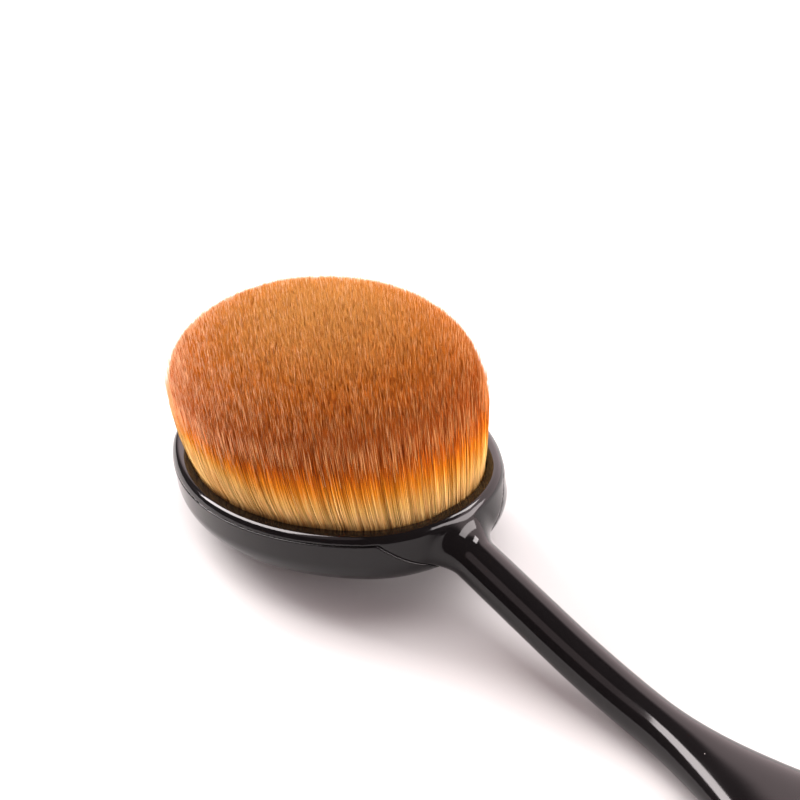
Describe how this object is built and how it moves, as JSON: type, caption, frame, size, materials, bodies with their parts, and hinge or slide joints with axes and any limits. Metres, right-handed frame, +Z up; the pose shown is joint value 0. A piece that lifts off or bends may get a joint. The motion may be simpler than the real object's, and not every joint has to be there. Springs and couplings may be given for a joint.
{
  "type": "oval body brush",
  "caption": "Oval brush with a dense domed tuft of two-tone filament in a gloss oval head, on a round neck that flares into a flat grip.",
  "frame": {"origin": "middle of the bounding box at its bottom; Z = 0 is the table the brush lies on", "axes": "+X from the head to the end of the grip, +Z up with the bristles up, symmetric about Y = 0"},
  "size_m": [0.1734, 0.0472, 0.041],
  "materials": {
    "handle": "gloss",
    "cover": "gloss",
    "tray": "matte",
    "resin": "satin",
    "filament": "soft fibre"
  },
  "bodies": {
    "root": {"handle_moulding": "handle", "back_cover": "cover", "bristle_tray": "tray", "glue_bed": "resin", "bristles": "filament"}
  },
  "joints": []
}
